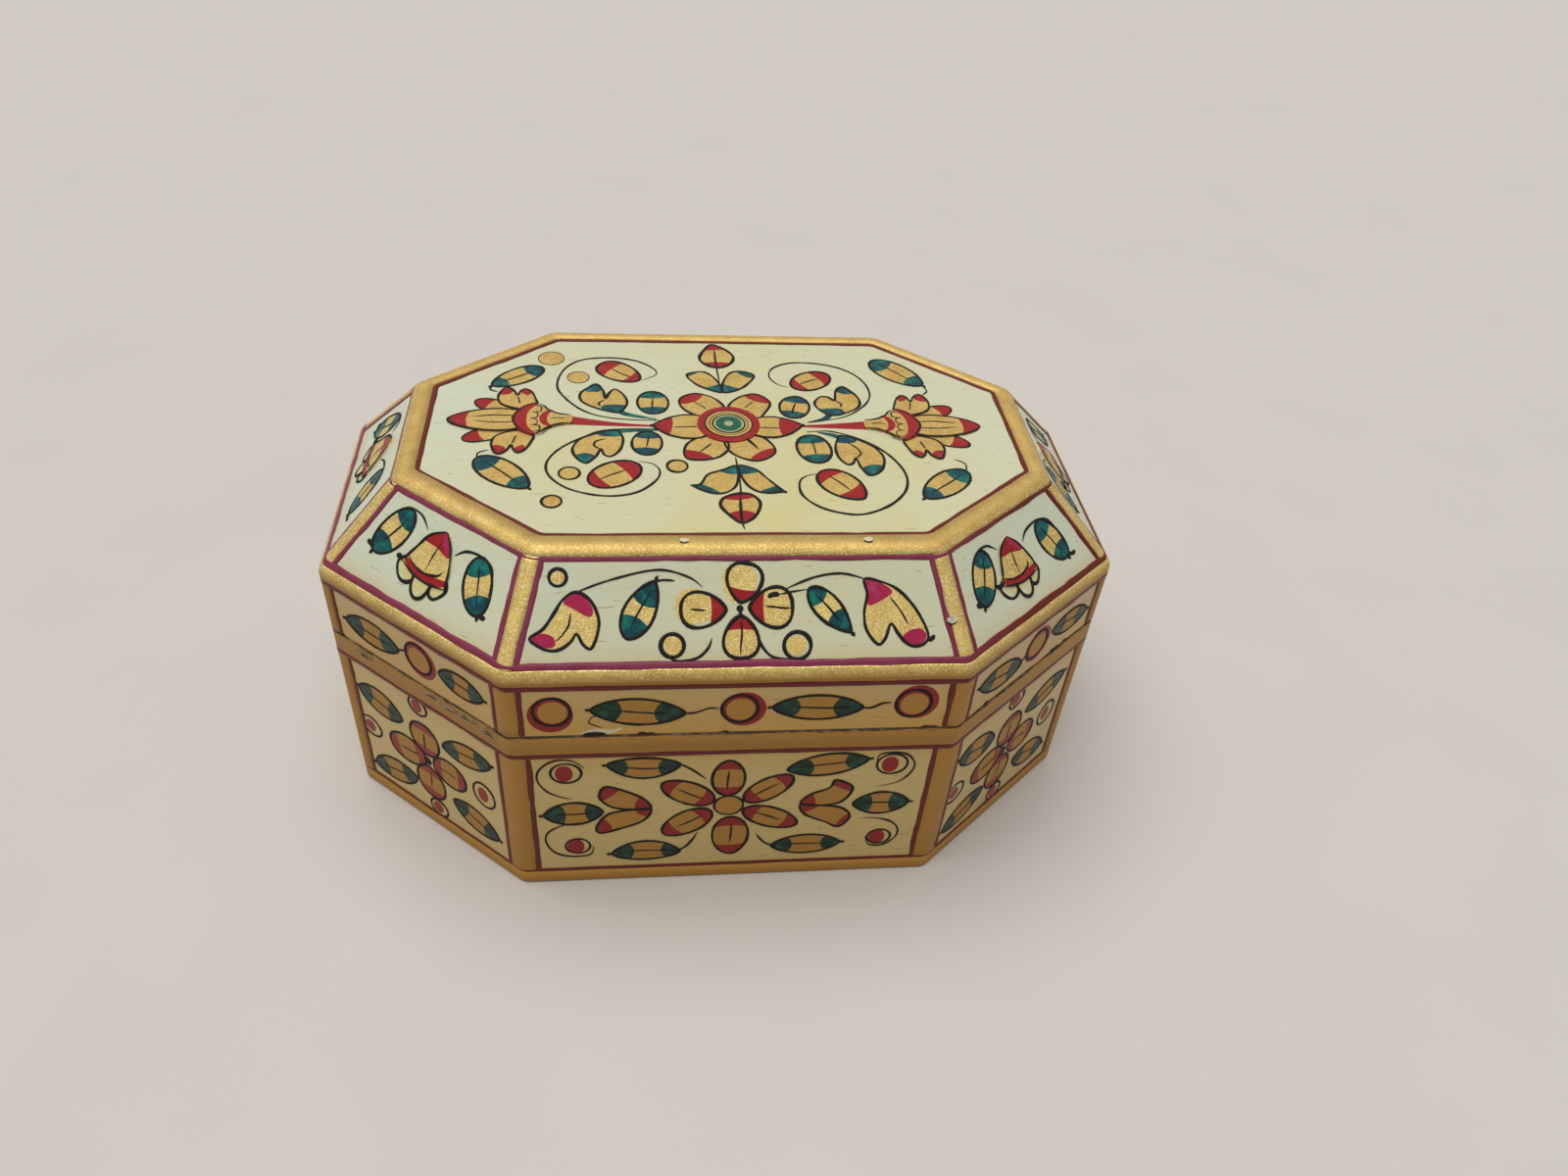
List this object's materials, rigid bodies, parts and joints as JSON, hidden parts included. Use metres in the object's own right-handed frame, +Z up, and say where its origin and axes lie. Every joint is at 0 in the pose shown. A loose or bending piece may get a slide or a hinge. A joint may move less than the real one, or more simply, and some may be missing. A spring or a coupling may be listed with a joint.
{
  "type": "lidded trinket box",
  "caption": "Small elongated octagonal trinket box: wooden carcass clad in painted bone panels, with a bevelled lift-off lid seated over an inner lip.",
  "frame": {"origin": "centre of the underside, on the surface the box stands on", "axes": "+X along the long axis to the right of the front, -Y out of the front face, +Z up"},
  "size_m": [0.102, 0.07, 0.05],
  "materials": {
    "carcass_wood": "plain oiled hardwood",
    "lip_wood": "plain oiled hardwood",
    "bone_cladding": "polished bone, lacquered"
  },
  "bodies": {
    "base": {"base_floor": "carcass_wood", "base_wall_front": "carcass_wood", "base_panel_front": "bone_cladding", "lip_strip_front": "lip_wood", "base_wall_front_right": "carcass_wood", "base_panel_front_right": "bone_cladding", "lip_strip_front_right": "lip_wood", "base_wall_right": "carcass_wood", "base_panel_right": "bone_cladding", "lip_strip_right": "lip_wood", "base_wall_back_right": "carcass_wood", "base_panel_back_right": "bone_cladding", "lip_strip_back_right": "lip_wood", "base_wall_back": "carcass_wood", "base_panel_back": "bone_cladding", "lip_strip_back": "lip_wood", "base_wall_back_left": "carcass_wood", "base_panel_back_left": "bone_cladding", "lip_strip_back_left": "lip_wood", "base_wall_left": "carcass_wood", "base_panel_left": "bone_cladding", "lip_strip_left": "lip_wood", "base_wall_front_left": "carcass_wood", "base_panel_front_left": "bone_cladding", "lip_strip_front_left": "lip_wood"},
    "lid": {"lid_board": "carcass_wood", "lid_top_panel": "bone_cladding", "lid_skirt_board_front": "carcass_wood", "lid_skirt_panel_front": "bone_cladding", "lid_bevel_panel_front": "bone_cladding", "lid_skirt_board_front_right": "carcass_wood", "lid_skirt_panel_front_right": "bone_cladding", "lid_bevel_panel_front_right": "bone_cladding", "lid_skirt_board_right": "carcass_wood", "lid_skirt_panel_right": "bone_cladding", "lid_bevel_panel_right": "bone_cladding", "lid_skirt_board_back_right": "carcass_wood", "lid_skirt_panel_back_right": "bone_cladding", "lid_bevel_panel_back_right": "bone_cladding", "lid_skirt_board_back": "carcass_wood", "lid_skirt_panel_back": "bone_cladding", "lid_bevel_panel_back": "bone_cladding", "lid_skirt_board_back_left": "carcass_wood", "lid_skirt_panel_back_left": "bone_cladding", "lid_bevel_panel_back_left": "bone_cladding", "lid_skirt_board_left": "carcass_wood", "lid_skirt_panel_left": "bone_cladding", "lid_bevel_panel_left": "bone_cladding", "lid_skirt_board_front_left": "carcass_wood", "lid_skirt_panel_front_left": "bone_cladding", "lid_bevel_panel_front_left": "bone_cladding"}
  },
  "joints": [
    {"name": "lid_lift", "type": "slide", "parent": "base", "child": "lid", "axis": [0, 0, 1], "range_m": [0, 0.06]}
  ]
}
